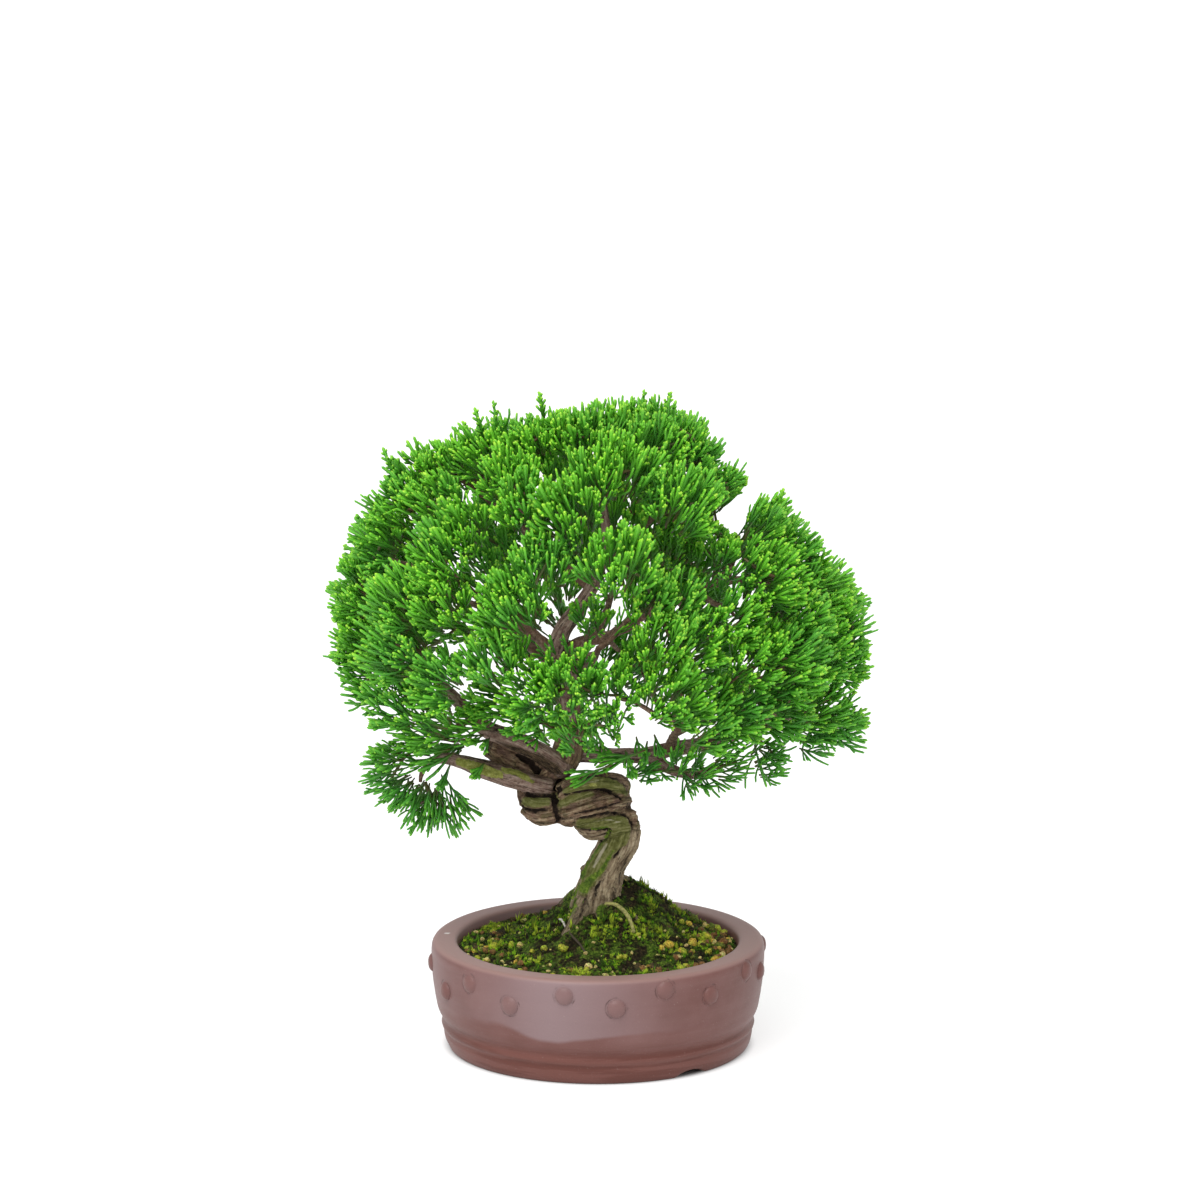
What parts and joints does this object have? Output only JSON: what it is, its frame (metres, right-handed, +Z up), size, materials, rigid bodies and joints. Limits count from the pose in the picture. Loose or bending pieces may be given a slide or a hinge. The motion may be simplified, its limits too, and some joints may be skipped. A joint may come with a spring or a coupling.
{
  "type": "itoigawa juniper bonsai in a pot",
  "caption": "Miniature juniper with a corkscrew trunk and a broad rounded crown of cord-like scale foliage, growing from a mossy mound in a round studded unglazed pot.",
  "frame": {"origin": "centre of the bounding box's underside, level with the pot's feet", "axes": "+Z up, -Y toward the front of the tree, +X to the right as seen from the front"},
  "size_m": [0.2484, 0.1994, 0.3023],
  "materials": {
    "pot_clay": "satin",
    "black_plastic": "matte",
    "soil": "matte",
    "bark": "matte",
    "foliage": "satin"
  },
  "bodies": {
    "root": {"pot": "pot_clay", "drainage_mesh": "black_plastic", "soil": "soil", "tree": "bark", "spray_01": "foliage", "spray_02": "foliage", "spray_03": "foliage", "spray_04": "foliage", "spray_05": "foliage", "spray_06": "foliage", "spray_07": "foliage", "spray_08": "foliage", "spray_09": "foliage", "spray_10": "foliage", "spray_11": "foliage", "spray_12": "foliage", "spray_13": "foliage", "spray_14": "foliage", "spray_15": "foliage", "spray_16": "foliage", "spray_17": "foliage", "spray_18": "foliage", "spray_19": "foliage", "spray_20": "foliage", "spray_21": "foliage", "spray_22": "foliage", "spray_23": "foliage", "spray_24": "foliage", "spray_25": "foliage", "spray_26": "foliage", "spray_27": "foliage", "spray_28": "foliage", "spray_29": "foliage", "spray_30": "foliage", "spray_31": "foliage", "spray_32": "foliage", "spray_33": "foliage", "spray_34": "foliage", "spray_35": "foliage", "spray_36": "foliage", "spray_37": "foliage", "spray_38": "foliage", "spray_39": "foliage", "spray_40": "foliage", "spray_41": "foliage", "spray_42": "foliage", "spray_43": "foliage", "spray_44": "foliage", "spray_45": "foliage", "spray_46": "foliage", "spray_47": "foliage", "spray_48": "foliage", "spray_49": "foliage", "spray_50": "foliage"}
  },
  "joints": []
}
